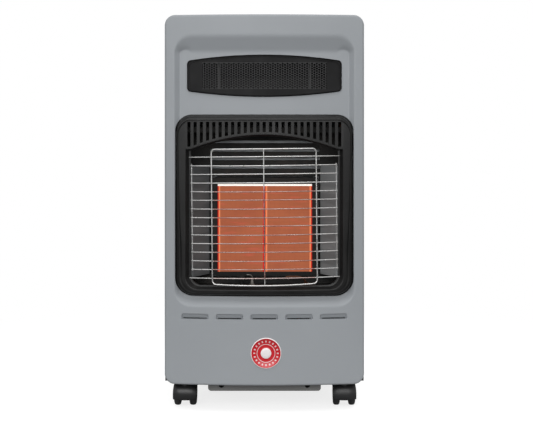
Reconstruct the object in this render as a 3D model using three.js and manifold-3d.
// Portable gas cabinet heater. Millimetres, +Z up, front facing -Y, origin on the floor under the middle.
import * as THREE from 'three';
import { mergeVertices } from 'three/addons/utils/BufferGeometryUtils.js';
import Module from 'manifold-3d';

const wasm = await Module();
wasm.setup();

// ---------------------------------------------------------------- driving dimensions

// Cabinet. In the cabinet's own frame y = 0 is the plane of the front panel's side edges.
const cabinetWidth = 385;
const halfWidth = cabinetWidth / 2;
const panelTop = 766;
const panelBottom = 54;
const cabinetDepth = 374;
const panelBow = 16;            // how far the middle of the front stands out from its side edges
const bowStrips = 8;           // flats that the bow is rolled from
const sheet = 1.2;
const gap = 0.4;                // clearance between pieces that meet
const panelFlange = 14;
const panelReturn = 12;         // turned-in front edge of a side
const panelEdgeRoll = 4.5;
const panelTopRadius = 20;
const panelBottomRadius = 15;

// Recessed field of the front panel.
const recessWidth = cabinetWidth - 38;
const recessTop = panelTop - 41;
const recessBottom = panelBottom + 152;
const recessDepth = 10;
const recessRadius = 33;
const recessSideBevel = 10;
const recessTopBevel = 29.5;
const recessBottomBevel = 16;

// Louvres under the recess.
const louvreCount = 5;
const louvreWidth = 52.4;
const louvreSideMargin = 33.1;    // from the panel's edge to the outermost louvre
const louvrePitch = (cabinetWidth - 2 * louvreSideMargin - louvreWidth) / (louvreCount - 1);
const louvreHeight = 10.3;
const louvreDepth = 5;
const louvreSlot = 2.2;
const louvreHeightAboveFloor = recessBottom - 25;

// Badge.
const badgeDiameter = 59;
const badgeCentreZ = panelBottom + 60.5;
const badgeThickness = 3;
const badgeRim = 2.6;

// Outlet at the top of the recess.
const outletWidth = cabinetWidth - 87;
const outletHeight = 80.6;
const outletEndHeight = 58;
const outletCentreZ = panelTop - 117.5;
const outletCorner = 8;
const outletRim = 3;
const outletProud = 3;
const outletWindowWidth = outletWidth - 58;
const outletWindowHeight = outletHeight - 29.6;
const meshSheet = 1;
const meshMargin = 3.5;
const meshHoleRadius = 5;
const meshPitch = 14;
const ductDepth = 120;
const ductWall = 1;
const strutSize = 4;
const strutSpacing = outletWindowWidth - 62;

// Bezel round the firebox.
const bezelWidth = cabinetWidth - 49;
const bezelTop = outletCentreZ - 78.5;
const bezelBottom = recessBottom + 22;
const bezelTopRadius = 28;
const bezelBottomRadius = 30;
const bezelWall = 2.2;
const bezelProud = 4;
const bezelReveal = 4;          // dark gap between the bezel and the panel's cut-out
const bezelFlange = 5;
const bezelBack = 15;
const mouthWidth = bezelWidth - 52;
const mouthBottom = bezelBottom + 17.5;
const mouthSideTop = bezelTop - 66;
const mouthCentreTop = mouthSideTop + 27;
const mouthRadius = 22;
const mouthFlare = 10;          // how much wider the mouth is at the bezel's face
const mouthFlareBottom = 7.5;
const mouthFlareTop = 3.5;
const slotCount = 25;
const slotPitch = (bezelWidth - 46.8) / (slotCount - 1);
const slotWidth = 5.4;
const slotTop = bezelTop - 10;
const slotToMouth = 3;

// Wire guard.
const guardWires = 15;
const guardLowestWire = mouthBottom + 15;
const guardHighestWire = mouthSideTop - 11;
const guardWirePitch = (guardHighestWire - guardLowestWire) / (guardWires - 1);
const guardWire = 2.4;
const guardLoopWire = 3;
const guardHalfWidth = mouthWidth / 2 - 1.5;
const guardRuns = 6;             // straight runs that make a wire's bow
const guardHookReach = 13;      // how far the first and last wires run past the end wires
const guardEndY = -2;
const guardBow = 18.2;
const guardLoopHalfWidth = guardHalfWidth - 40;
const guardLoopBottom = mouthBottom - 3.5;
const guardLoopTop = mouthSideTop + 4;
const guardLoopRadius = 6;
const guardSocketClearance = 0.6;
const weldSink = 0.5;

// Firebox and burner.
const fireboxSheet = 1;
const fireboxHalfWidth = mouthWidth / 2 + 8;
const fireboxBottom = mouthBottom - 9.5;
const fireboxTop = mouthCentreTop + 9;
const fireboxFront = 17;
const fireboxDepth = 66;
const fireboxFlange = 10;
const burnerClearance = 2;
const plaqueWidth = 95.2;
const plaqueThickness = 13;
const plaqueSeam = 0.8;
const plaqueBottom = fireboxBottom + 24;
const plaqueHeight = fireboxTop - 108 - plaqueBottom;
const plaqueFaceY = 74;
const burnerFrameWidth = 11;
const burnerFrameLip = 1.6;
const gasketHeight = 6;
const plenumDepth = 38;
const plenumWall = 2;
const mixingTubeX = -50;
const mixingTubeDiameter = 26;
const mixingTubeWall = 1.6;
const mixingTubeBottom = fireboxBottom - 118;
const injectorDiameter = 11;
const reflectorTop = fireboxTop - 65;
const reflectorBottom = fireboxBottom + 22;
const reflectorOuter = fireboxHalfWidth - 11;
const reflectorSheet = 0.9;
const pilotX = -46;
const electrodeX = -25;
const thermocoupleX = 82;
const pilotY = 58;
const leadDiameter = 3;
const heatShieldY = 129;
const heatShieldInset = 6;
const heatShieldFlange = 14;
const heatShieldBottom = fireboxBottom - 104;
const heatShieldAboveFire = 8;

// Top cover and the controls in its deck.
const coverTop = panelTop - 6;
const coverSkirt = 16;
const coverRearRadius = 10;
const coverSideRadius = 15;      // keeps the cover's long edges behind the panel's corners
const deckCentreX = halfWidth - 100.5;
const deckWidth = 150;
const deckLength = 96;
const deckDrop = 26;
const deckRadius = 12;
const valveY = 200;
const valveWidth = 44;
const valveHeight = 40;
const knobDiameter = 42;
const knobHeight = 18;
const knobX = deckCentreX - 30;
const knobTravel = 4;
const stemDiameter = 8;
const stemLength = 40;
const buttonDiameter = 13;
const buttonRise = 11;
const buttonX = deckCentreX + 40;
const buttonTravel = 6;
const igniterDiameter = 18;
const igniterLength = 46;
const gasPipeDiameter = 8;
const pilotPipeDiameter = 4;
const riserX = halfWidth - 15.5;   // where the leads and pipes climb the right side
const pipeFloor = panelBottom + 26; // height of the lowest pipe runs
const nozzleDiameter = 11;
const nozzleLength = 34;

// Side grips.
const gripLength = 100;
const gripHeight = 32;
const gripDepth = 20;
const gripCentreY = 195;
const gripCentreZ = panelTop - 126;
const gripWall = 2;

// Base.
const baseBottom = panelBottom + 3.5;
const cornerFloor = 2.6;
const cornerWall = 5.5;
const cornerSize = 64;
const traySheet = 1.5;
const trayRim = 26;
const lipWidth = cabinetWidth - 167;
const lipDrop = 14;
const lipHoleDiameter = 11;
const lipHoleSpacing = lipWidth - 52;
const lipRadius = 3;

// Rear cover.
const rearFlange = 10;
const rearTabWidth = 30;
const rearTabSpacing = cabinetWidth - 185;
const rearTabDrop = 11;
const rearSlotCount = 6;

// Casters.
const casterWheelDiameter = 50;
const casterWheelWidth = 14;
const casterWeb = 12;
const casterWheelGap = 16;
const casterHoodWall = 2;
const casterHoodRadius = 29;
const casterTrail = 17;
const casterInset = 36;
const casterRearInset = 52;
const casterStem = 10;
const casterStemLength = 24;
const casterSocketWall = 3.5;
const axleDiameter = 6;
const runningGap = 0.4;

// ---------------------------------------------------------------- shape helpers

// Turns geometry drawn in X-Y and extruded along Z so that the drawing stands in X-Z.
function standUp(geometry) {
  return geometry.rotateX(Math.PI / 2);
}

// A drawing in X-Z, filled from y = front to y = back.
function plate(shape, front, back, curveSegments = 6) {
  const options = { depth: back - front, bevelEnabled: false, curveSegments };
  return standUp(new THREE.ExtrudeGeometry(shape, options)).translate(0, back, 0);
}

// A drawing in X-Y, filled from z = bottom to z = top.
function slabUp(shape, bottom, top, curveSegments = 6) {
  const options = { depth: top - bottom, bevelEnabled: false, curveSegments };
  return new THREE.ExtrudeGeometry(shape, options).translate(0, 0, bottom);
}

// A drawing whose first axis is Y and second Z, filled from x = left to x = right.
function slabAcross(shape, left, right, curveSegments = 6) {
  const options = { depth: right - left, bevelEnabled: false, curveSegments };
  const axes = new THREE.Matrix4().makeBasis(
    new THREE.Vector3(0, 1, 0), new THREE.Vector3(0, 0, 1), new THREE.Vector3(1, 0, 0));
  return new THREE.ExtrudeGeometry(shape, options).applyMatrix4(axes).translate(left, 0, 0);
}

// A box between two corners.
function block(x0, x1, y0, y1, z0, z1) {
  const box = new THREE.BoxGeometry(x1 - x0, y1 - y0, z1 - z0);
  return box.translate((x0 + x1) / 2, (y0 + y1) / 2, (z0 + z1) / 2);
}

// A cylinder along Z from z = bottom to z = top.
function post(x, y, bottom, top, diameter, sides = 16) {
  const cylinder = new THREE.CylinderGeometry(diameter / 2, diameter / 2, top - bottom, sides);
  return cylinder.rotateX(Math.PI / 2).translate(x, y, (bottom + top) / 2);
}

// A cylinder along X.
function bar(left, right, y, z, diameter, sides = 12) {
  const cylinder = new THREE.CylinderGeometry(diameter / 2, diameter / 2, right - left, sides);
  return cylinder.rotateZ(Math.PI / 2).translate((left + right) / 2, y, z);
}

// A cylinder along Y.
function pin(x, z, front, back, diameter, sides = 12) {
  const cylinder = new THREE.CylinderGeometry(diameter / 2, diameter / 2, back - front, sides);
  return cylinder.translate(x, (front + back) / 2, z);
}

// A body of revolution about Z; profile holds [radius, height] pairs from axis to axis.
function turned(profile, segments = 20) {
  const points = profile.map(([radius, height]) => new THREE.Vector2(radius, height));
  return standUp(new THREE.LatheGeometry(points, segments));
}

// A round wire or tube that follows a curve.
function wire(curve, diameter, steps, sides = 6) {
  const section = new THREE.Shape();
  for (let i = 0; i < sides; i++) {
    const angle = 2 * Math.PI * i / sides;
    const x = diameter / 2 * Math.cos(angle);
    const y = diameter / 2 * Math.sin(angle);
    if (i === 0) section.moveTo(x, y);
    else section.lineTo(x, y);
  }
  section.closePath();
  return new THREE.ExtrudeGeometry(section, { steps, extrudePath: curve, bevelEnabled: false });
}

// A smooth wire or pipe through points given as [x, y, z].
function pipe(points, diameter, steps, sides = 6) {
  const curve = new THREE.CatmullRomCurve3(points.map((p) => new THREE.Vector3(...p)), false, 'centripetal');
  return wire(curve, diameter, steps, sides);
}

// Straight runs through points, mitred where they meet.
class Runs extends THREE.Curve {
  constructor(points) {
    super();
    this.points = points;
  }

  getPoint(t, target = new THREE.Vector3()) {
    const runs = this.points.length - 1;
    const run = Math.min(runs - 1, Math.floor(t * runs));
    return target.lerpVectors(this.points[run], this.points[run + 1], t * runs - run);
  }

  getUtoTmapping(u) {
    return u;
  }
}

function polygon(points) {
  return new THREE.Shape(points.map(([x, y]) => new THREE.Vector2(x, y)));
}

// Corner points of a rectangle with rounded corners, anticlockwise from the lower right.
function roundedPoints(left, right, bottom, top, bottomRadius, topRadius, steps = 5) {
  const corners = [
    [right - bottomRadius, bottom + bottomRadius, bottomRadius, -90],
    [right - topRadius, top - topRadius, topRadius, 0],
    [left + topRadius, top - topRadius, topRadius, 90],
    [left + bottomRadius, bottom + bottomRadius, bottomRadius, 180],
  ];
  const points = [];
  for (const [x, z, radius, start] of corners) {
    for (let i = 0; i <= steps; i++) {
      const angle = THREE.MathUtils.degToRad(start + 90 * i / steps);
      points.push([x + radius * Math.cos(angle), z + radius * Math.sin(angle)]);
    }
  }
  return points;
}

function roundedShape(left, right, bottom, top, bottomRadius, topRadius, steps = 5) {
  return polygon(roundedPoints(left, right, bottom, top, bottomRadius, topRadius, steps));
}

// A closed body through rings of equally many X-Z points, each ring at its own y, front to back.
function loft(rings) {
  const count = rings[0].points.length;
  const positions = [];
  const indices = [];
  for (const ring of rings) {
    for (const [x, z] of ring.points) positions.push(x, ring.y, z);
  }
  for (let r = 0; r + 1 < rings.length; r++) {
    for (let i = 0; i < count; i++) {
      const a = r * count + i;
      const b = r * count + (i + 1) % count;
      indices.push(a, a + count, b, b, a + count, b + count);
    }
  }
  const last = (rings.length - 1) * count;
  const capFaces = (ring) => THREE.ShapeUtils.triangulateShape(
    ring.points.map(([x, z]) => new THREE.Vector2(x, z)), []);
  for (const [a, b, c] of capFaces(rings[0])) indices.push(a, b, c);
  for (const [a, b, c] of capFaces(rings[rings.length - 1])) indices.push(last + c, last + b, last + a);
  const geometry = new THREE.BufferGeometry();
  geometry.setAttribute('position', new THREE.Float32BufferAttribute(positions, 3));
  geometry.setIndex(indices);
  return geometry;
}

// ---------------------------------------------------------------- joining and cutting

// The geometry with shared vertices and no triangle that has closed up to a line.
function bare(geometry) {
  const copy = geometry.clone();
  for (const name of Object.keys(copy.attributes)) {
    if (name !== 'position') copy.deleteAttribute(name);
  }
  const merged = mergeVertices(copy, 1e-4);
  const index = merged.index.array;
  const kept = [];
  for (let i = 0; i < index.length; i += 3) {
    const [a, b, c] = [index[i], index[i + 1], index[i + 2]];
    if (a !== b && b !== c && c !== a) kept.push(a, b, c);
  }
  merged.setIndex(kept);
  return merged;
}

// Turns a closed body's faces outward if its volume comes out negative.
function outwardFacing(geometry) {
  const at = geometry.attributes.position;
  const index = Array.from(geometry.index.array);
  let volume = 0;
  const [a, b, c] = [new THREE.Vector3(), new THREE.Vector3(), new THREE.Vector3()];
  for (let i = 0; i < index.length; i += 3) {
    a.fromBufferAttribute(at, index[i]);
    b.fromBufferAttribute(at, index[i + 1]);
    c.fromBufferAttribute(at, index[i + 2]);
    volume += a.dot(b.cross(c));
  }
  if (volume < 0) {
    for (let i = 0; i < index.length; i += 3) [index[i + 1], index[i + 2]] = [index[i + 2], index[i + 1]];
    geometry.setIndex(index);
  }
  return geometry;
}

function mirrored(geometry) {
  return outwardFacing(bare(geometry.clone().scale(-1, 1, 1)));
}

function toSolid(geometry) {
  const merged = outwardFacing(bare(geometry));
  const vertProperties = new Float32Array(merged.attributes.position.array);
  const triVerts = new Uint32Array(merged.index.array);
  return new wasm.Manifold(new wasm.Mesh({ numProp: 3, vertProperties, triVerts }));
}

function toGeometry(solid) {
  const mesh = solid.getMesh();
  const geometry = new THREE.BufferGeometry();
  const positions = new Float32Array(mesh.vertProperties);
  geometry.setAttribute('position', new THREE.BufferAttribute(positions, 3));
  geometry.setIndex(Array.from(mesh.triVerts));
  return geometry;
}

function join(first, ...others) {
  return toGeometry(others.reduce((solid, other) => solid.add(toSolid(other)), toSolid(first)));
}

function cut(first, ...tools) {
  return toGeometry(tools.reduce((solid, tool) => solid.subtract(toSolid(tool)), toSolid(first)));
}

function meet(first, second) {
  return toGeometry(toSolid(first).intersect(toSolid(second)));
}

// ---------------------------------------------------------------- the bow of the front

const bowLines = Array.from({ length: bowStrips + 1 }, (_, i) => (2 * i / bowStrips - 1) * halfWidth);

// How far the front stands out at x, rolled as flats between the bow lines.
function bowAt(x) {
  const curve = (at) => -panelBow * Math.max(0, 1 - (at / halfWidth) ** 2);
  const strip = 2 * halfWidth / bowStrips;
  const place = Math.min(bowStrips - 1, Math.max(0, Math.floor((x + halfWidth) / strip)));
  const share = Math.min(1, Math.max(0, (x - bowLines[place]) / strip));
  return curve(bowLines[place]) * (1 - share) + curve(bowLines[place + 1]) * share;
}

// Rolls a flat piece to the bow, one flat strip at a time. In front of y = full it takes the whole
// bow, behind y = flat none.
function bowed(geometry, full = Infinity, flat = Infinity) {
  const body = toSolid(geometry);
  const bounds = new THREE.Box3().setFromBufferAttribute(bare(geometry).attributes.position);
  const { min, max } = bounds.expandByScalar(1);
  let rolled = null;
  for (let i = 0; i < bowStrips; i++) {
    const left = i === 0 ? Math.min(min.x, bowLines[0] - 1) : bowLines[i];
    const right = i === bowStrips - 1 ? Math.max(max.x, bowLines[bowStrips] + 1) : bowLines[i + 1];
    if (right <= min.x || left >= max.x) continue;
    const strip = toGeometry(body.intersect(toSolid(block(left, right, min.y, max.y, min.z, max.z))));
    const at = strip.attributes.position;
    for (let k = 0; k < at.count; k++) {
      const y = at.getY(k);
      const share = flat === Infinity ? 1 : Math.min(1, Math.max(0, (flat - y) / (flat - full)));
      at.setY(k, y + bowAt(at.getX(k)) * share);
    }
    rolled = rolled ? rolled.add(toSolid(strip)) : toSolid(strip);
  }
  return toGeometry(rolled);
}

// ---------------------------------------------------------------- front panel

// Outline of the lens-shaped outlet, grown by a margin.
function lensPoints(margin, steps = 6) {
  const half = outletWidth / 2 + margin;
  const end = outletEndHeight / 2 + margin;
  const middle = outletHeight / 2 + margin;
  const corner = outletCorner;
  const points = [];
  const arc = (x) => end + (middle - end) * (1 - (x / half) ** 2);
  const inner = half - corner;
  for (const side of [1, -1]) {
    for (let i = 0; i <= steps; i++) {
      const x = side * inner * (1 - 2 * i / steps);
      points.push([x, outletCentreZ + side * arc(x)]);
    }
    const z = arc(inner);
    for (const turn of [50, 0]) {
      const angle = THREE.MathUtils.degToRad(turn);
      const x = -side * (inner + corner * Math.cos(angle));
      points.push([x, outletCentreZ + side * (z - corner + corner * Math.sin(angle))]);
    }
    for (const turn of [0, 50]) {
      const angle = THREE.MathUtils.degToRad(turn);
      const x = -side * (inner + corner * Math.cos(angle));
      points.push([x, outletCentreZ - side * (z - corner + corner * Math.sin(angle))]);
    }
  }
  return points;
}

function panelOutline(inset) {
  return roundedPoints(-halfWidth + inset, halfWidth - inset, panelBottom + inset, panelTop - inset,
    Math.max(1, panelBottomRadius - inset), Math.max(1, panelTopRadius - inset), 4);
}

// The pressed recess; grow moves its walls outward and its floor back by the sheet.
function recessPocket(grow) {
  const side = recessWidth / 2 + grow * 0.4;
  const floorSide = recessWidth / 2 - recessSideBevel + grow * 0.4;
  const floorRadius = recessRadius - recessSideBevel;
  const mouth = roundedPoints(-side, side, recessBottom - grow * 0.8, recessTop + grow * 0.3,
    recessRadius, recessRadius);
  const floor = roundedPoints(-floorSide, floorSide, recessBottom + recessBottomBevel - grow * 0.8,
    recessTop - recessTopBevel + grow * 0.3, floorRadius, floorRadius);
  const slope = (from, to, share) => from.map(([x, z], i) => [
    x + (to[i][0] - x) * share, z + (to[i][1] - z) * share]);
  const lead = 2;
  return loft([
    { points: slope(mouth, floor, -lead / recessDepth), y: -lead + grow },
    { points: floor, y: recessDepth + grow },
  ]);
}

// One louvre: a tongue pressed inward, open along its lower edge.
function louvrePocket(x, grow) {
  const half = louvreWidth / 2 + grow * 0.5;
  const bottom = louvreHeightAboveFloor;
  const top = bottom + louvreHeight + grow * 0.5;
  const mouth = roundedPoints(x - half, x + half, bottom, top, 0.8, 4, 1);
  const floor = roundedPoints(x - half + 3, x + half - 3, bottom, bottom + louvreSlot + 1 + grow, 0.8, 1.6, 1);
  return loft([{ points: mouth, y: grow - 0.02 }, { points: floor, y: louvreDepth + grow }]);
}

function louvreSlotCut(x) {
  const half = louvreWidth / 2 - 3.4;
  const bottom = louvreHeightAboveFloor;
  return block(x - half, x + half, 0.3, louvreDepth + 3 * sheet, bottom + 0.2, bottom + louvreSlot);
}

function louvreCentres() {
  return Array.from({ length: louvreCount }, (_, i) => (i - (louvreCount - 1) / 2) * louvrePitch);
}

function bezelOutline(margin, steps = 4) {
  const half = bezelWidth / 2 + margin;
  return roundedPoints(-half, half, bezelBottom - margin, bezelTop + margin,
    bezelBottomRadius + margin, bezelTopRadius + margin, steps);
}

function frontPanel() {
  const outer = loft([
    { points: panelOutline(panelEdgeRoll), y: 0 },
    { points: panelOutline(panelEdgeRoll * 0.3), y: panelEdgeRoll * 0.3 },
    { points: panelOutline(0), y: panelEdgeRoll },
    { points: panelOutline(0), y: panelFlange },
  ]);
  const inner = loft([
    { points: panelOutline(panelEdgeRoll + sheet * 0.4), y: sheet },
    { points: panelOutline(panelEdgeRoll * 0.3 + sheet), y: panelEdgeRoll * 0.3 + sheet },
    { points: panelOutline(sheet), y: panelEdgeRoll + sheet },
    { points: panelOutline(sheet), y: panelFlange + 1 },
  ]);
  const centres = louvreCentres();
  const skin = cut(outer, recessPocket(0), ...centres.map((x) => louvrePocket(x, 0)));
  const hollow = cut(inner, recessPocket(sheet), ...centres.map((x) => louvrePocket(x, sheet)));
  const flat = cut(skin, hollow,
    plate(polygon(lensPoints(gap)), -5, panelFlange + 5),
    plate(polygon(bezelOutline(bezelReveal)), -5, panelFlange + 5),
    ...centres.map(louvreSlotCut));
  return bowed(flat);
}

// A plain enamelled disc with a raised rim and rays, seated on the panel by a short stud.
function badge() {
  const radius = badgeDiameter / 2;
  const rise = 1;
  const profile = [[0, 0], [radius - 1, 0], [radius, 0.8], [radius, badgeThickness - 0.6],
    [radius - 0.6, badgeThickness], [radius - badgeRim, badgeThickness],
    [radius - badgeRim - 0.4, badgeThickness - rise], [0, badgeThickness - rise]];
  const disc = turned(profile, 24).rotateX(Math.PI / 2);
  const face = bowAt(0) - gap;
  return disc.translate(0, face, badgeCentreZ);
}

// ---------------------------------------------------------------- warm-air outlet

const recessBackY = recessDepth + sheet;
const outletFaceY = recessDepth - outletProud + 2;
const outletFlangeY = recessBackY + gap;
const outletFlangeSheet = 2.4;
const outletBackY = outletFlangeY + outletFlangeSheet;

function outletWindow(margin) {
  const half = outletWindowWidth / 2 + margin;
  const middle = outletWindowHeight / 2 + margin;
  return roundedShape(-half, half, outletCentreZ - middle, outletCentreZ + middle, 2, 2, 2);
}

function outletFrame() {
  const proud = recessDepth - outletProud;
  const body = join(
    plate(polygon(lensPoints(-gap)), proud, outletBackY),
    plate(polygon(lensPoints(outletRim + gap)), outletFlangeY, outletBackY));
  const dish = plate(polygon(lensPoints(-gap - outletRim)), proud - 2, outletFaceY);
  const rebate = plate(outletWindow(meshMargin), outletBackY - meshSheet - gap, outletBackY + 1);
  return bowed(cut(body, dish, plate(outletWindow(0), proud - 3, outletBackY + 2), rebate));
}

// Staggered six-sided holes over a rectangle, as closed cutters.
function meshHoles(front, back) {
  const columns = Math.floor((outletWindowWidth - meshPitch) / meshPitch);
  const rowPitch = meshPitch;
  const rows = Math.floor((outletWindowHeight - rowPitch / 2) / rowPitch);
  const holes = [];
  for (let c = 0; c < columns; c++) {
    const shift = (c % 2 ? 0.25 : -0.25) * rowPitch;
    for (let r = 0; r < rows; r++) {
      const x = (c - (columns - 1) / 2) * meshPitch;
      const z = outletCentreZ + (r - (rows - 1) / 2) * rowPitch + shift;
      const corners = [[1, 0], [0, 1], [-1, 0], [0, -1]];
      const points = corners.map(([u, v]) => [x + u * meshPitch * 0.46, z + v * meshHoleRadius]);
      holes.push(plate(polygon(points), front, back));
    }
  }
  return holes;
}

function outletMesh() {
  const margin = meshMargin - gap;
  const back = outletBackY;
  const front = back - meshSheet;
  const sheetBody = plate(outletWindow(margin), front, back);
  return bowed(cut(sheetBody, ...meshHoles(front - 1, back + 1)));
}

// The sheet-metal duct that carries warm air from over the firebox to the outlet, open at both ends.
function outletDuct() {
  const front = outletBackY + gap;
  const half = outletWindowWidth / 2 + meshMargin + 4;
  const top = outletCentreZ + outletWindowHeight / 2 + 6;
  const bottom = outletCentreZ - outletWindowHeight / 2 - 6;
  const floorZ = fireboxTop + 14;
  const throat = ductDepth * 0.55;
  const outer = polygon([[front, bottom], [throat, bottom], [throat, floorZ], [front + ductDepth, floorZ],
    [front + ductDepth, top - 30], [front + ductDepth - 30, top], [front, top]]);
  const inner = polygon([[front - 1, bottom + ductWall], [throat + ductWall, bottom + ductWall],
    [throat + ductWall, floorZ - 1], [front + ductDepth - ductWall, floorZ - 1],
    [front + ductDepth - ductWall, top - 30], [front + ductDepth - 30, top - ductWall], [front - 1, top - ductWall]]);
  return cut(slabAcross(outer, -half, half), slabAcross(inner, -half + ductWall, half - ductWall));
}

// The two upright braces that show behind the mesh.
function outletStrut(side) {
  const front = outletBackY + gap + 8;
  const x = side * strutSpacing / 2;
  const bottom = outletCentreZ - outletWindowHeight / 2 - 6 + ductWall + gap;
  const top = outletCentreZ + outletWindowHeight / 2 + 6 - ductWall - gap;
  const body = block(x - strutSize / 2, x + strutSize / 2, front, front + strutSize, bottom, top);
  const foot = block(x - strutSize / 2, x + strutSize / 2, front, front + 14, bottom, bottom + 1.5);
  const head = block(x - strutSize / 2, x + strutSize / 2, front, front + 14, top - 1.5, top);
  return join(body, foot, head);
}

// ---------------------------------------------------------------- bezel

// Outline of the firebox mouth: straight sides, rounded foot, arched head.
function mouthPoints(widen, lower, raise, steps = 4, archSteps = 12) {
  const half = mouthWidth / 2 + widen;
  const bottom = mouthBottom - lower;
  const shoulder = mouthSideTop + raise;
  const crown = mouthCentreTop + raise;
  const points = [];
  for (const side of [1, -1]) {
    const corner = [];
    for (let i = 0; i <= steps; i++) {
      const angle = THREE.MathUtils.degToRad(-90 + 90 * i / steps);
      corner.push([side * (half - mouthRadius + mouthRadius * Math.cos(angle)),
        bottom + mouthRadius + mouthRadius * Math.sin(angle)]);
    }
    if (side === 1) {
      points.push(...corner);
      for (let i = 0; i <= archSteps; i++) {
        const x = half * (1 - 2 * i / archSteps);
        points.push([x, shoulder + (crown - shoulder) * (1 - (x / half) ** 2)]);
      }
    } else {
      points.push(...corner.reverse());
    }
  }
  return points;
}

function archHeight(x) {
  const half = mouthWidth / 2 + mouthFlare;
  const rise = mouthCentreTop - mouthSideTop;
  return mouthSideTop + mouthFlareTop + rise * (1 - (x / half) ** 2);
}

// The tapering mouth, grown by a wall thickness.
function mouthTaper(wall, front, back) {
  const run = bezelBack + bezelProud;
  const at = (y) => {
    const share = (bezelBack - y) / run;
    return mouthPoints(mouthFlare * share + wall, mouthFlareBottom * share + wall, mouthFlareTop * share + wall);
  };
  return loft([{ points: at(front), y: front }, { points: at(back), y: back }]);
}

function bezelSlots() {
  const slots = [];
  for (let i = 0; i < slotCount; i++) {
    const x = (i - (slotCount - 1) / 2) * slotPitch;
    const half = slotWidth / 2;
    const bottom = archHeight(Math.abs(x) + half) + slotToMouth;
    slots.push(plate(roundedShape(x - half, x + half, bottom, slotTop, half * 0.8, half * 0.8, 1),
      -bezelProud - 2, -bezelProud + bezelWall + 1));
  }
  return slots;
}

function burnerBezel() {
  const front = -bezelProud;
  const round = 3;
  const outer = loft([
    { points: bezelOutline(-round), y: front },
    { points: bezelOutline(-round * 0.3), y: front + round * 0.3 },
    { points: bezelOutline(0), y: front + round },
    { points: bezelOutline(0), y: bezelBack },
  ]);
  const flangeFront = recessBackY + gap;
  const flange = plate(polygon(bezelOutline(bezelReveal + bezelFlange)), flangeFront, bezelBack);
  const hollow = cut(
    plate(polygon(bezelOutline(-bezelWall)), front + bezelWall, bezelBack + 1),
    mouthTaper(bezelWall, front - 4, bezelBack + 4));
  const flat = cut(join(outer, flange), hollow, mouthTaper(0, front - 2, bezelBack + 2), ...bezelSlots());
  return cut(bowed(flat, front + bezelWall + 1, bezelBack), ...guardSockets());
}

// ---------------------------------------------------------------- wire guard

// The guard's bow, taken as straight runs between even knots so that all of its wires meet.
function guardYAt(x) {
  const along = (x / guardHalfWidth + 1) * guardRuns / 2;
  const run = THREE.MathUtils.clamp(Math.floor(along), 0, guardRuns - 1);
  const [from, to] = [run, run + 1].map((k) => guardEndY - guardBow * (1 - (2 * k / guardRuns - 1) ** 2));
  return from + (to - from) * (along - run);
}

function guardKnots(reach) {
  const inner = Array.from({ length: guardRuns - 1 }, (_, i) => (2 * (i + 1) / guardRuns - 1) * guardHalfWidth);
  return [-reach, ...inner, reach];
}

// A level wire that follows the guard's bow.
function bowedWire(reach, z, diameter, sides = 4) {
  const points = guardKnots(reach).map((x) => new THREE.Vector3(x, guardYAt(x), z));
  return wire(new Runs(points), diameter, guardRuns, sides);
}

function hookWire(z, diameter) {
  return bowedWire(guardHalfWidth + guardHookReach, z, diameter);
}

function guardWireHeights() {
  return Array.from({ length: guardWires }, (_, i) => guardLowestWire + i * guardWirePitch);
}

// Holes in the bezel's sides that the first and last wires spring into.
function guardSockets() {
  const heights = guardWireHeights();
  return [heights[0], heights[guardWires - 1]].map((z) => hookWire(z, guardWire + 2 * guardSocketClearance));
}

function guardLoop() {
  const half = guardLoopHalfWidth;
  const proud = (guardWire + guardLoopWire) / 2 - weldSink;
  const outline = roundedPoints(-half, half, guardLoopBottom, guardLoopTop, guardLoopRadius, guardLoopRadius, 2);
  const points = [];
  outline.forEach(([x, z], i) => {
    const [nextX, nextZ] = outline[(i + 1) % outline.length];
    points.push(new THREE.Vector3(x, guardYAt(x) - proud, z));
    if (Math.abs(nextX - x) < half) return;
    const knots = guardKnots(guardHalfWidth).filter((knot) => Math.abs(knot) < half - guardLoopRadius);
    if (nextX < x) knots.reverse();
    for (const knot of knots) points.push(new THREE.Vector3(knot, guardYAt(knot) - proud, z));
  });
  return closedWire(points, guardLoopWire, 5);
}

// A closed ring of round wire through points, mitred at each of them.
function closedWire(points, diameter, sides) {
  const count = points.length;
  const positions = [];
  const indices = [];
  const outward = new THREE.Vector3(0, -1, 0);
  points.forEach((point, i) => {
    const before = point.clone().sub(points[(i + count - 1) % count]).normalize();
    const after = points[(i + 1) % count].clone().sub(point).normalize();
    const along = before.clone().add(after).normalize();
    const across = new THREE.Vector3().crossVectors(along, outward).normalize();
    const up = new THREE.Vector3().crossVectors(across, along).normalize();
    const stretch = 1 / Math.max(0.5, along.dot(after));
    for (let s = 0; s < sides; s++) {
      const angle = 2 * Math.PI * s / sides;
      const offset = across.clone().multiplyScalar(diameter / 2 * Math.cos(angle) * stretch)
        .add(up.clone().multiplyScalar(diameter / 2 * Math.sin(angle)));
      positions.push(...point.clone().add(offset).toArray());
    }
  });
  for (let i = 0; i < count; i++) {
    for (let s = 0; s < sides; s++) {
      const a = i * sides + s;
      const b = i * sides + (s + 1) % sides;
      const c = ((i + 1) % count) * sides + s;
      const d = ((i + 1) % count) * sides + (s + 1) % sides;
      indices.push(a, b, c, b, d, c);
    }
  }
  const geometry = new THREE.BufferGeometry();
  geometry.setAttribute('position', new THREE.Float32BufferAttribute(positions, 3));
  geometry.setIndex(indices);
  return outwardFacing(geometry);
}

function uprightWire(x, proud, bottom, top, diameter) {
  const y = guardYAt(x) - proud;
  return post(x, y, bottom, top, diameter, 4);
}

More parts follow.
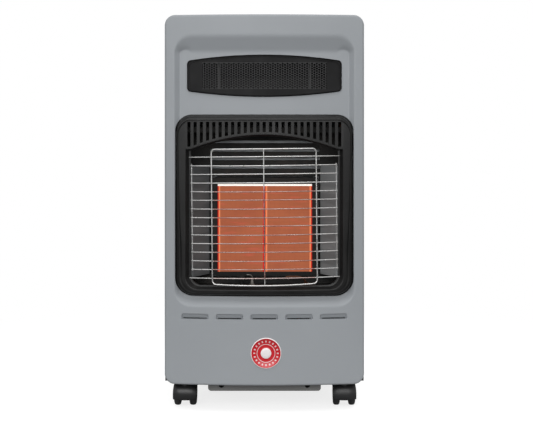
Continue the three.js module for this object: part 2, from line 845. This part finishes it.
function wireGuard() {
  const heights = guardWireHeights();
  const half = guardHalfWidth;
  const last = guardWires - 1;
  const parts = [guardLoop()];
  heights.forEach((z, i) => {
    const hooked = i === 0 || i === last;
    parts.push(hooked ? hookWire(z, guardWire) : bowedWire(half, z, guardWire));
  });
  for (const side of [-1, 1]) {
    const x = side * (half - guardWire / 2);
    parts.push(uprightWire(x, weldSink - guardWire, heights[1] - 3, heights[last - 1] + 3, guardWire));
  }
  const proud = (guardWire + guardLoopWire) / 2 - weldSink;
  parts.push(uprightWire(0, proud, guardLoopBottom, guardLoopTop, guardLoopWire * 0.8));
  return join(...parts);
}

// ---------------------------------------------------------------- firebox and burner

const fireboxBackY = fireboxFront + fireboxDepth;
const plaquesHalf = plaqueWidth + plaqueSeam / 2;
const plaqueTop = plaqueBottom + plaqueHeight;
const frameHalf = plaquesHalf + burnerFrameWidth;
const frameBottom = plaqueBottom - burnerFrameWidth + 4;
const frameTop = plaqueTop + gasketHeight + burnerFrameWidth;
const plaqueBackY = plaqueFaceY + plaqueThickness;

// A bent sheet seen edge on: the line through the points, thickened to one side.
function strip(points, thickness) {
  const back = points.map(([x, y], i) => {
    const [px, py] = points[Math.max(0, i - 1)];
    const [nx, ny] = points[Math.min(points.length - 1, i + 1)];
    const before = new THREE.Vector2(x - px, y - py).normalize();
    const after = new THREE.Vector2(nx - x, ny - y).normalize();
    const along = before.clone().add(after).normalize();
    const reach = thickness / Math.max(0.4, along.dot(after.lengthSq() ? after : before));
    return [x - along.y * reach, y + along.x * reach];
  });
  return polygon([...points, ...back.reverse()]);
}

// The open-fronted sheet box round the fire, with a flange behind the bezel and holes for the burner and leads.
function firebox() {
  const half = fireboxHalfWidth;
  const wall = fireboxSheet;
  const outer = block(-half, half, fireboxFront, fireboxBackY, fireboxBottom, fireboxTop);
  const flange = block(-half - fireboxFlange, half + fireboxFlange, fireboxFront, fireboxFront + wall,
    fireboxBottom - fireboxFlange, fireboxTop + fireboxFlange);
  const inner = block(-half + wall, half - wall, fireboxFront - 1, fireboxBackY - wall,
    fireboxBottom + wall, fireboxTop - wall);
  const window = block(-frameHalf - burnerClearance, frameHalf + burnerClearance, fireboxBackY - 5,
    fireboxBackY + 5, frameBottom - burnerClearance, frameTop + burnerClearance);
  const leadHoles = [pilotX, electrodeX, thermocoupleX].map((x) => post(x, pilotY,
    fireboxBottom - 2, fireboxBottom + wall + 2, leadDiameter * 2 + 3, 12));
  const vents = [];
  for (let i = 0; i < 4; i++) {
    const z = frameTop + 18 + i * 17;
    vents.push(block(-110, 110, fireboxBackY - 3, fireboxBackY + 2, z, z + 5));
  }
  return cut(join(outer, flange), inner, window, ...leadHoles, ...vents);
}

// A bright sheet that flares from beside the plaques out to the bezel, with a bent edge at either end.
function sideReflector(side) {
  const inner = frameHalf + burnerClearance + 3;
  const profile = strip([[reflectorOuter + 8, fireboxFront + 3], [reflectorOuter, fireboxFront + 3],
    [inner, fireboxBackY - 14], [inner, fireboxBackY - fireboxSheet - gap]], reflectorSheet);
  const body = slabUp(profile, reflectorBottom, reflectorTop);
  return side > 0 ? body : mirrored(body);
}

// A ceramic plaque with shallow crossed grooves on its face.
function plaque(side) {
  const inner = side * plaqueSeam / 2;
  const outer = side * plaquesHalf;
  const left = Math.min(inner, outer);
  const right = Math.max(inner, outer);
  const body = block(left, right, plaqueFaceY, plaqueBackY, plaqueBottom, plaqueTop);
  const grooves = [];
  const rows = 7;
  for (let i = 1; i < rows; i++) {
    const z = plaqueBottom + plaqueHeight * i / rows;
    grooves.push(block(left + 3, right - 3, plaqueFaceY - 1, plaqueFaceY + 1, z - 0.7, z + 0.7));
  }
  return cut(body, ...grooves);
}

// The pressed frame that clamps the plaques and the gasket to the plenum.
function burnerFrame() {
  const front = plaqueFaceY - burnerFrameLip - gap;
  const lip = burnerFrameLip;
  const outer = block(-frameHalf, frameHalf, front, plaqueBackY, frameBottom, frameTop);
  const seat = block(-plaquesHalf - gap, plaquesHalf + gap, plaqueFaceY - gap, plaqueBackY + 1,
    plaqueBottom - gap, plaqueTop + gasketHeight + 2 * gap);
  const sight = block(-plaquesHalf + lip, plaquesHalf - lip, front - 1, plaqueBackY + 1,
    plaqueBottom + lip, plaqueTop + gasketHeight - lip);
  return cut(outer, seat, sight);
}

// The white fibre strip above the plaques.
function gasketStrip() {
  return block(-plaquesHalf, plaquesHalf, plaqueFaceY, plaqueBackY,
    plaqueTop + gap, plaqueTop + gap + gasketHeight - gap);
}

// The cast chamber behind the plaques, open towards them, with the mixing tube's hole in its floor.
function plenum() {
  const front = plaqueBackY + gap;
  const back = front + plenumDepth;
  const outer = roundedShape(-frameHalf, frameHalf, frameBottom, frameTop, 10, 10, 3);
  const inner = roundedShape(-frameHalf + plenumWall, frameHalf - plenumWall, frameBottom + plenumWall,
    frameTop - plenumWall, 8, 8, 3);
  const hole = post(mixingTubeX, plenumCentreY, frameBottom - 5, frameBottom + 10, mixingTubeDiameter + 2 * gap, 20);
  return cut(plate(outer, front, back), plate(inner, front - 1, back - plenumWall), hole);
}

const plenumCentreY = plaqueBackY + gap + plenumDepth / 2;

// The venturi tube that feeds the plenum, flared where it draws in air.
function mixingTube() {
  const outer = mixingTubeDiameter / 2;
  const wall = mixingTubeWall;
  const bottom = mixingTubeBottom;
  const top = frameBottom + plenumWall + 6;
  const throat = outer * 0.72;
  const profile = [[outer + 5, bottom], [outer + 4, bottom + 6], [throat, bottom + 26], [throat, bottom + 44],
    [outer, bottom + 84], [outer, top], [outer - wall, top], [outer - wall, bottom + 84],
    [throat - wall, bottom + 44], [throat - wall, bottom + 26], [outer + 4 - wall, bottom + 5],
    [outer + 5 - wall, bottom], [outer + 5, bottom]];
  return turned(profile, 12).translate(mixingTubeX, plenumCentreY, 0);
}

// The brass injector below the tube, on a bracket from the heat shield.
function injectorHolder() {
  const top = mixingTubeBottom - 6;
  const hex = post(mixingTubeX, plenumCentreY, top - 22, top - 6, injectorDiameter * 1.6, 6);
  const tip = post(mixingTubeX, plenumCentreY, top - 8, top, injectorDiameter * 0.8, 12);
  const shank = post(mixingTubeX, plenumCentreY, top - 30, top - 20, injectorDiameter, 12);
  const back = heatShieldY - fireboxSheet - gap;
  const arm = block(mixingTubeX - 9, mixingTubeX + 9, plenumCentreY, back, top - 15, top - 12);
  const tab = block(mixingTubeX - 9, mixingTubeX + 9, back - 3, back, top - 15, heatShieldBottom + 16);
  return join(hex, tip, shank, arm, tab);
}

// The steel sheet between the fire and the cylinder bay, with stiffening flanges along both sides.
function heatShield() {
  const half = halfWidth - sheet - heatShieldInset;
  const front = heatShieldY - heatShieldFlange;
  const profile = strip([[half, front], [half, heatShieldY], [-half, heatShieldY], [-half, front]], fireboxSheet);
  return slabUp(profile, heatShieldBottom, fireboxTop + heatShieldAboveFire);
}

function pilotBurner() {
  const floor = fireboxBottom + fireboxSheet;
  const foot = block(pilotX - 9, pilotX + 9, pilotY - 7, pilotY + 7, floor + gap, floor + gap + 2);
  const tube = post(pilotX, pilotY, floor - 24, floor + 12, leadDiameter * 2, 10);
  const head = block(pilotX - 6, pilotX + 6, pilotY - 4, pilotY + 4, floor + 10, floor + 17);
  const hood = block(pilotX - 6, pilotX + 6, pilotY - 4, pilotY - 3, floor + 16, floor + 21);
  return join(tube, foot, head, hood);
}

function sparkElectrode() {
  const floor = fireboxBottom + fireboxSheet;
  const ceramic = turned([[0, floor - 16], [3, floor - 16], [3, floor + 6], [2, floor + 13], [0, floor + 13]], 10);
  const collar = turned([[0, floor + gap], [6.5, floor + gap], [6.5, floor + 2], [0, floor + 2]], 10);
  const body = join(ceramic, collar).translate(electrodeX, pilotY, 0);
  const tip = pipe([[electrodeX, pilotY, floor + 12], [electrodeX, pilotY, floor + 17],
    [electrodeX - 5, pilotY, floor + 20], [electrodeX - 11, pilotY, floor + 20]], 1.6, 6, 5);
  return join(body, tip);
}

// The thermocouple: its tip lies along the lower edge of the right plaque and its lead runs to the valve.
function thermocouple() {
  const floor = fireboxBottom + fireboxSheet;
  const tip = pipe([[thermocoupleX - 40, pilotY, floor + 16], [thermocoupleX - 14, pilotY, floor + 16],
    [thermocoupleX - 4, pilotY, floor + 12], [thermocoupleX, pilotY, floor + 2], [thermocoupleX, pilotY, floor - 10]],
    leadDiameter * 1.4, 7, 5);
  const nut = post(thermocoupleX, pilotY, floor + gap, floor + 5, 11, 6);
  const end = valveTop - valveHeight - gap;
  const riser = riserX - 1;
  const lead = pipe([[thermocoupleX, pilotY, floor - 9], [thermocoupleX + 4, pilotY + 6, floor - 30],
    [thermocoupleX + 6, pilotY + 2, mixingTubeBottom + 32], [thermocoupleX + 10, pilotY + 6, mixingTubeBottom - 8],
    [riser - 56, pilotY + 62, pipeFloor + 6], [riser - 12, valveY - 16, pipeFloor + 6],
    [riser, valveY + 15, pipeFloor + 42], [riser, valveY + 15, fireboxBottom + 63],
    [riser, valveY + 15, end - 134], [riser - 26, valveY + 14, end - 58],
    [knobX + 16, valveY + 10, end - 26], [knobX + 16, valveY + 10, end]],
    leadDiameter * 0.8, 24, 4);
  return join(tip, nut, lead);
}

// ---------------------------------------------------------------- cabinet

const deckFloor = coverTop - deckDrop;
const valveTop = deckFloor - sheet - gap;
const trayBottom = baseBottom + cornerFloor + gap;
const trayTop = trayBottom + trayRim;
const trayHalf = halfWidth - cornerWall - gap;
const trayFront = panelFlange + gap + 2;
const trayBack = cabinetDepth - cornerWall - gap;
const coverFront = panelFlange + gap;

// A flat sheet side with its front edge turned in, and the opening for its grip.
function sidePanel(side) {
  const front = coverFront;
  const profile = strip([[-halfWidth, cabinetDepth], [-halfWidth, front], [-halfWidth + panelReturn, front]], sheet);
  const sheetBody = slabUp(profile, trayTop + gap, coverTop - coverSkirt - gap);
  const opening = slabAcross(gripShape(gap), -halfWidth - 2, -halfWidth + 6);
  const panel = cut(sheetBody, opening);
  return side < 0 ? panel : mirrored(panel);
}

function gripShape(margin) {
  const half = gripLength / 2 + margin;
  const middle = gripHeight / 2 + margin;
  return roundedShape(gripCentreY - half, gripCentreY + half, gripCentreZ - middle, gripCentreZ + middle, 10, 10, 2);
}

// A moulded finger cup let into a side, flush with it, with its flange inside the sheet.
function sideGrip(side) {
  const left = -halfWidth;
  const flange = slabAcross(gripShape(6), left + sheet + gap, left + sheet + gap + gripWall);
  const cup = slabAcross(gripShape(0), left, left + gripDepth);
  const hollow = slabAcross(gripShape(-gripWall), left - 1, left + gripDepth - gripWall);
  const grip = cut(join(cup, flange), hollow);
  return side < 0 ? grip : mirrored(grip);
}

function deckOutline(margin) {
  return roundedShape(deckCentreX - deckWidth / 2 - margin, deckCentreX + deckWidth / 2 + margin,
    valveY - deckLength / 2 - margin, valveY + deckLength / 2 + margin,
    deckRadius + margin, deckRadius + margin, 4);
}

// The top cover, a shallow pan with turned-down edges and a sunk deck for the controls.
function topCover() {
  const front = coverFront;
  const bottom = coverTop - coverSkirt;
  const body = (wall, low) => {
    const side = halfWidth - wall;
    const plan = roundedShape(-side, side, front + wall, cabinetDepth - wall, 1, coverRearRadius - wall, 4);
    const face = roundedShape(-side, side, low - coverSkirt, coverTop - wall, 1, coverSideRadius - wall, 4);
    return meet(slabUp(plan, low, coverTop - wall), plate(face, front - 1, cabinetDepth + 1));
  };
  const shell = cut(body(0, bottom), body(sheet, bottom - 1));
  return cut(join(shell, slabUp(deckOutline(sheet), deckFloor - sheet, coverTop - sheet / 2)),
    slabUp(deckOutline(0), deckFloor, coverTop + 1),
    post(knobX, valveY, deckFloor - 3, deckFloor + 1, stemDiameter + 4, 16),
    post(buttonX, valveY, deckFloor - 3, deckFloor + 1, igniterDiameter + 2 * gap, 20));
}

// The bottom pan, with the lip that shows under the front panel.
function baseTray() {
  const floor = trayBottom;
  const outer = roundedShape(-trayHalf, trayHalf, trayFront, trayBack, 4, 4, 2);
  const inner = roundedShape(-trayHalf + traySheet, trayHalf - traySheet, trayFront + traySheet,
    trayBack - traySheet, 3, 3, 2);
  const lip = plate(roundedShape(-lipWidth / 2, lipWidth / 2, floor + traySheet - lipDrop - 4, floor + traySheet,
    lipRadius, 0.5, 2), trayFront, trayFront + traySheet);
  const lipHoles = [-1, 1].map((side) => pin(side * lipHoleSpacing / 2, floor - lipDrop / 2 - 1,
    trayFront - 2, trayFront + traySheet + 2, lipHoleDiameter, 14));
  const socketHoles = casterPlaces().map(([x, y]) => post(x, y, floor - 2, floor + traySheet + 2,
    casterStem + 2 * casterSocketWall + 2 * gap + 1, 10));
  const pan = cut(slabUp(outer, floor, trayTop), slabUp(inner, floor + traySheet, trayTop + 1));
  return cut(join(pan, lip), ...lipHoles, ...socketHoles);
}

// The black corner that wraps the tray and holds a caster's stem.
function baseCorner(sideX, sideY) {
  const frontEdge = sideY < 0 ? coverFront : cabinetDepth;
  const inward = sideY < 0 ? 1 : -1;
  const box = (size, thickness, bottom, top) => {
    const x0 = sideX * (halfWidth - thickness);
    const x1 = sideX * (halfWidth - size);
    const y0 = frontEdge + inward * (sideY < 0 ? Math.min(thickness, trayFront - coverFront) : thickness);
    const y1 = frontEdge + inward * size;
    return block(Math.min(x0, x1), Math.max(x0, x1), Math.min(y0, y1), Math.max(y0, y1), bottom, top);
  };
  const wrap = box(cornerSize, 0, baseBottom, trayTop - 1);
  const trayRoom = block(-trayHalf - gap, trayHalf + gap, trayFront - gap, trayBack + gap,
    trayBottom - gap, trayTop + 9);
  const isFront = sideY < 0;
  const [x, y] = casterPlaces().find(([px, py]) => Math.sign(px) === sideX && (py < cabinetDepth / 2) === isFront);
  const outer = casterStem + 2 * casterSocketWall;
  const bore = casterStem + 2 * runningGap;
  return cut(join(cut(wrap, trayRoom), post(x, y, baseBottom, baseBottom + casterStemLength + 3, outer, 10)),
    post(x, y, baseBottom - 1, baseBottom + casterStemLength + 5, bore, 10));
}

// The lift-off rear cover: a shallow pan with air slots, standing on two tabs behind the tray.
function rearCover() {
  const half = halfWidth - sheet - 1.2;
  const bottom = trayTop + 1.5;
  const top = coverTop - coverSkirt - 1.5;
  const front = cabinetDepth - rearFlange;
  const outer = roundedShape(-half, half, bottom, top, 4, 4, 2);
  const inner = roundedShape(-half + sheet, half - sheet, bottom + sheet, top - sheet, 3, 3, 2);
  const pan = cut(plate(outer, front, cabinetDepth), plate(inner, front - 1, cabinetDepth - sheet));
  const tabs = [-1, 1].map((side) => {
    const x = side * rearTabSpacing / 2;
    return block(x - rearTabWidth / 2, x + rearTabWidth / 2, cabinetDepth - 3 - sheet, cabinetDepth - 3,
      bottom - rearTabDrop, bottom + sheet / 2);
  });
  const slots = [];
  for (const base of [bottom + 40, top - 40 - rearSlotCount * 14]) {
    for (let i = 0; i < rearSlotCount; i++) {
      slots.push(block(-110, 110, front - 2, cabinetDepth + 2, base + i * 14, base + i * 14 + 5));
    }
  }
  return cut(join(pan, ...tabs), ...slots);
}

// ---------------------------------------------------------------- controls and gas pipes

// The brass gas valve under the deck, its stem bore open at the top.
function gasValve() {
  const half = valveWidth / 2;
  const top = valveTop;
  const bottom = top - valveHeight;
  const body = block(knobX - half, knobX + half, valveY - 15, valveY + 15, bottom, top - 4);
  const neck = post(knobX, valveY, top - 5, top, 22, 16);
  const inlet = pin(knobX, bottom + 14, valveY + 14, valveY + 26, 16, 12);
  const outlet = post(knobX - 10, valveY, bottom - 9, bottom + 2, 14, 6);
  const bore = post(knobX, valveY, stemBottom - knobTravel - 2, top + 2, stemDiameter + 2 * gap, 16);
  return cut(join(body, neck, inlet, outlet), bore);
}

const knobBottom = deckFloor + knobTravel + 1.5;
const stemTop = knobBottom + knobHeight - 6;
const stemBottom = stemTop - stemLength;

function valveStem() {
  const rod = post(knobX, valveY, stemBottom, stemTop, stemDiameter, 16);
  const flat = block(knobX + stemDiameter * 0.32, knobX + stemDiameter, valveY - stemDiameter, valveY + stemDiameter,
    stemTop - 12, stemTop + 1);
  return cut(rod, flat);
}

// The control knob: a skirt, a raised finger bar with a pointer groove, and a round bore for the stem.
function controlKnob() {
  const radius = knobDiameter / 2;
  const skirt = turned([[0, 0], [radius - 1, 0], [radius, 1], [radius, 4], [radius - 2, 6], [0, 6]], 18);
  const hub = turned([[0, 5], [radius - 6, 5], [radius - 7, knobHeight - 4], [radius - 9, knobHeight - 3],
    [0, knobHeight - 3]], 12);
  const grip = block(-4.5, 4.5, -radius + 2, radius - 2, 4, knobHeight);
  const groove = block(-0.8, 0.8, -radius, -radius + 14, knobHeight - 0.8, knobHeight + 1);
  const bore = post(0, 0, -1, knobHeight - 6 + gap, stemDiameter + 2 * gap, 16);
  return cut(join(skirt, hub, grip), groove, bore).translate(knobX, valveY, knobBottom);
}

function igniterBody() {
  const top = deckFloor + gap + 2.6;
  const collar = post(buttonX, valveY, deckFloor + gap, top, igniterDiameter + 7, 24);
  const barrel = post(buttonX, valveY, top - igniterLength, top - 1, igniterDiameter, 20);
  const bottom = top - igniterLength;
  const terminal = block(buttonX - 3, buttonX + 3, valveY - 0.6, valveY + 0.6, bottom - 9, bottom + 2);
  const bore = post(buttonX, valveY, buttonBottom - buttonTravel - 1, top + 1, buttonDiameter + 2 * gap, 20);
  return cut(join(collar, barrel, terminal), bore);
}

const buttonTop = deckFloor + gap + 2.6 + buttonRise;
const buttonBottom = buttonTop - 30;

function igniterButton() {
  const radius = buttonDiameter / 2;
  const height = buttonTop - buttonBottom;
  return turned([[0, 0], [radius, 0], [radius, height - 2.2], [radius - 0.7, height - 0.8],
    [radius - 2.2, height], [0, height - 0.4]], 20).translate(buttonX, valveY, buttonBottom);
}

// Ribbed nozzle that the cylinder's hose pushes onto, pointing back into the cylinder bay.
function hoseNozzle() {
  const radius = nozzleDiameter / 2;
  const rib = (at) => [[radius - 1.2, at], [radius, at + 1], [radius - 1.2, at + 5]];
  const profile = [[2.4, 0], [8, 0], [8, 7], [radius - 1.2, 7], ...rib(10), ...rib(17), ...rib(24),
    [radius - 1.6, nozzleLength], [2.4, nozzleLength], [2.4, 0]];
  const y = valveY + 26 + gap;
  return turned(profile, 8).rotateX(-Math.PI / 2).translate(knobX, y, valveTop - valveHeight + 14);
}

// The main gas pipe from the valve, down the right side and under the heat shield to the injector.
function gasPipe() {
  const start = valveTop - valveHeight - 9 - gap;
  const injectorBottom = mixingTubeBottom - 6 - 30 - gap;
  const riser = riserX - 20;
  return pipe([[knobX - 10, valveY, start], [knobX - 10, valveY, start - 18], [knobX + 20, valveY - 4, start - 48],
    [riser - 8, valveY - 22, start - 80], [riser, valveY - 26, start - 140], [riser, valveY - 28, fireboxBottom + 4],
    [riser - 2, valveY - 30, pipeFloor + 50], [riser - 38, valveY - 44, pipeFloor + 18],
    [riser - 118, heatShieldY - 5, pipeFloor + 4], [mixingTubeX + 16, plenumCentreY, pipeFloor - 10],
    [mixingTubeX + 3, plenumCentreY, pipeFloor - 11], [mixingTubeX, plenumCentreY, pipeFloor - 7],
    [mixingTubeX, plenumCentreY, injectorBottom]], gasPipeDiameter, 26, 5);
}

function pilotPipe() {
  const start = valveTop - valveHeight - gap;
  const riser = riserX - 6;
  return pipe([[knobX + 12, valveY, start], [knobX + 12, valveY, start - 14], [knobX + 50, valveY - 6, start - 40],
    [riser - 4, valveY - 36, start - 90], [riser, valveY - 38, start - 150], [riser, valveY - 38, fireboxBottom - 36],
    [riser - 2, valveY - 40, pipeFloor + 40], [riser - 22, heatShieldY + 1, pipeFloor + 32],
    [riser - 72, pilotY + 22, pipeFloor + 70], [pilotX + 66, pilotY + 4, fireboxBottom - 46],
    [pilotX, pilotY, fireboxBottom - 34], [pilotX, pilotY, fireboxBottom + fireboxSheet - 24 - gap]],
    pilotPipeDiameter, 24, 5);
}

function ignitionLead() {
  const start = deckFloor + gap + 2.6 - igniterLength - 9 - gap;
  const riser = riserX + 3;
  return pipe([[buttonX, valveY, start], [buttonX + 4, valveY - 4, start - 30], [riser - 12, valveY - 4, start - 80],
    [riser, valveY - 4, start - 160], [riser + 1, valveY - 10, fireboxBottom + 64],
    [riser - 1, valveY - 30, pipeFloor + 42], [riser - 20, heatShieldY - 11, pipeFloor + 24],
    [riser - 80, pilotY - 22, pipeFloor + 48], [electrodeX + 35, pilotY - 16, fireboxBottom - 46],
    [electrodeX, pilotY, fireboxBottom - 30], [electrodeX, pilotY, fireboxBottom + fireboxSheet - 16 - gap]],
    leadDiameter, 24, 5);
}

// ---------------------------------------------------------------- casters

function casterPlaces() {
  const x = halfWidth - casterInset;
  return [[-x, coverFront + casterInset - 8], [x, coverFront + casterInset - 8],
    [-x, cabinetDepth - casterRearInset], [x, cabinetDepth - casterRearInset]];
}

const axleZ = casterWheelDiameter / 2;
const hoodTop = baseBottom - 1;

// The hood over the wheels: a crowned cover, the web that carries the axle, and the swivel stem.
function casterHood() {
  const half = casterWheelGap / 2 + casterWheelWidth + 0.6;
  const outer = casterHoodRadius;
  const inner = outer - casterHoodWall;
  const ring = turned([[inner, -half], [outer - 2.4, -half], [outer - 0.6, -half * 0.5], [outer, 0],
    [outer - 0.6, half * 0.5], [outer - 2.4, half], [inner, half], [inner, -half]], 16)
    .rotateY(Math.PI / 2).translate(0, casterTrail, axleZ);
  const reach = outer + 2;
  const keep = slabAcross(polygon([[casterTrail, axleZ - 6], [casterTrail - 20, 9.5], [casterTrail - reach, 9.5],
    [casterTrail - reach, axleZ + reach], [casterTrail + reach, axleZ + reach], [casterTrail + reach, axleZ + 9],
    [casterTrail + 14, axleZ + 4]]), -half - 1, half + 1);
  const cover = meet(ring, keep);
  const arc = [];
  for (let i = 0; i <= 7; i++) {
    const angle = THREE.MathUtils.degToRad(212 - 190 * i / 7);
    arc.push([casterTrail + (outer - 1.4) * Math.cos(angle), axleZ + (outer - 1.4) * Math.sin(angle)]);
  }
  const web = slabAcross(polygon([[casterTrail - 6, axleZ - 9], ...arc, [casterTrail + 9, axleZ - 3],
    [casterTrail + 3, axleZ - 9]]), -casterWeb / 2, casterWeb / 2);
  const collar = post(0, 0, axleZ + 12, hoodTop, 18, 12);
  const stem = post(0, 0, hoodTop - 2, hoodTop + casterStemLength, casterStem, 10);
  return cut(join(cover, web, collar, stem), bar(-20, 20, casterTrail, axleZ, axleDiameter + 2 * runningGap, 8),
    casterWheelRoom(-1), casterWheelRoom(1));
}

// The room that a wheel turns in, cut from the hood's collar.
function casterWheelRoom(side) {
  const near = casterWeb / 2 + 0.6;
  const far = casterWheelGap / 2 + casterWheelWidth + 4;
  const [left, right] = side > 0 ? [near, far] : [-far, -near];
  return bar(left, right, casterTrail, axleZ, casterWheelDiameter + 3, 16);
}

function casterWheel(side) {
  const radius = casterWheelDiameter / 2;
  const bore = axleDiameter / 2 + runningGap;
  const w = casterWheelWidth;
  const profile = [[bore, 0], [radius - 2.5, 0], [radius, 2.5], [radius, w - 4], [radius - 4, w], [bore, w - 4],
    [bore, 0]];
  const wheel = turned(profile, 16).rotateY(Math.PI / 2).translate(casterWheelGap / 2, casterTrail, axleZ);
  return side > 0 ? wheel : mirrored(wheel);
}

function casterAxle() {
  const reach = casterWheelGap / 2 + casterWheelWidth - 4.5;
  return bar(-reach, reach, casterTrail, axleZ, axleDiameter, 8);
}

// ---------------------------------------------------------------- finishes and assembly

function finish(color, roughness, metalness = 0) {
  return new THREE.MeshStandardMaterial({ color, roughness, metalness });
}

const finishes = {
  greyPaint: () => finish(0x999ea2, 0.45),
  darkGreyPaint: () => finish(0x5a5c5e, 0.55),
  blackPlastic: () => finish(0x2a2a2b, 0.5),
  casterPlastic: () => finish(0x1d1d1f, 0.42),
  meshSteel: () => finish(0x2c2c2d, 0.6, 0.4),
  chromeWire: () => finish(0xc4c5c4, 0.18, 1),
  reflectorSteel: () => finish(0x8f9091, 0.28, 1),
  sootySteel: () => finish(0x161615, 0.7, 0.5),
  zincSteel: () => finish(0x8c9092, 0.42, 0.9),
  glowingCeramic: () => finish(0xb56c55, 0.85),
  whiteFibre: () => finish(0xe6e2da, 0.95),
  brass: () => finish(0xb08d4a, 0.35, 1),
  copper: () => finish(0xa8663f, 0.4, 1),
  redEnamel: () => finish(0xc02a33, 0.25),
  whiteCeramic: () => finish(0xe8e6e0, 0.4),
  leadRubber: () => finish(0x8a2f2a, 0.7),
};

const heater = new THREE.Group();
heater.name = 'heater';
const cabinet = new THREE.Group();
const guardReach = -guardYAt(0) + (guardWire + guardLoopWire) / 2 - weldSink + guardLoopWire / 2;
cabinet.position.y = (guardReach - cabinetDepth) / 2;
heater.add(cabinet);

function place(name, geometry, material, parent = cabinet) {
  const mesh = new THREE.Mesh(outwardFacing(bare(geometry)), material());
  mesh.name = name;
  parent.add(mesh);
  return mesh;
}

place('front_panel', frontPanel(), finishes.greyPaint);
place('badge', badge(), finishes.redEnamel);
place('outlet_frame', outletFrame(), finishes.blackPlastic);
place('outlet_mesh', outletMesh(), finishes.meshSteel);
place('outlet_duct', outletDuct(), finishes.sootySteel);
place('burner_bezel', burnerBezel(), finishes.blackPlastic);
place('wire_guard', wireGuard(), finishes.chromeWire);
place('firebox', firebox(), finishes.sootySteel);
place('burner_frame', burnerFrame(), finishes.sootySteel);
place('gasket_strip', gasketStrip(), finishes.whiteFibre);
place('plenum', plenum(), finishes.sootySteel);
place('mixing_tube', mixingTube(), finishes.zincSteel);
place('injector_holder', injectorHolder(), finishes.brass);
place('heat_shield', heatShield(), finishes.zincSteel);
place('pilot_burner', pilotBurner(), finishes.zincSteel);
place('spark_electrode', sparkElectrode(), finishes.whiteCeramic);
place('thermocouple', thermocouple(), finishes.copper);
place('top_cover', topCover(), finishes.greyPaint);
place('base_tray', baseTray(), finishes.darkGreyPaint);
place('rear_cover', rearCover(), finishes.greyPaint);
place('gas_valve', gasValve(), finishes.brass);
place('valve_stem', valveStem(), finishes.zincSteel);
place('control_knob', controlKnob(), finishes.blackPlastic);
place('igniter_body', igniterBody(), finishes.blackPlastic);
place('igniter_button', igniterButton(), finishes.redEnamel);
place('hose_nozzle', hoseNozzle(), finishes.brass);
place('gas_pipe', gasPipe(), finishes.copper);
place('pilot_pipe', pilotPipe(), finishes.copper);
place('ignition_lead', ignitionLead(), finishes.leadRubber);

for (const [label, side] of [['left', -1], ['right', 1]]) {
  place(`side_panel_${label}`, sidePanel(side), finishes.greyPaint);
  place(`side_grip_${label}`, sideGrip(side), finishes.blackPlastic);
  place(`side_reflector_${label}`, sideReflector(side), finishes.reflectorSteel);
  place(`plaque_${label}`, plaque(side), finishes.glowingCeramic);
  place(`outlet_strut_${label}`, outletStrut(side), finishes.zincSteel);
  place(`base_corner_front_${label}`, baseCorner(side, -1), finishes.casterPlastic);
  place(`base_corner_rear_${label}`, baseCorner(side, 1), finishes.casterPlastic);
}

const casterNames = ['front_left', 'front_right', 'rear_left', 'rear_right'];
casterPlaces().forEach(([x, y], i) => {
  const caster = new THREE.Group();
  caster.position.set(x, y, 0);
  cabinet.add(caster);
  place(`caster_hood_${casterNames[i]}`, casterHood(), finishes.casterPlastic, caster);
  place(`caster_axle_${casterNames[i]}`, casterAxle(), finishes.zincSteel, caster);
  place(`caster_wheel_${casterNames[i]}_a`, casterWheel(-1), finishes.casterPlastic, caster);
  place(`caster_wheel_${casterNames[i]}_b`, casterWheel(1), finishes.casterPlastic, caster);
});

export default heater;
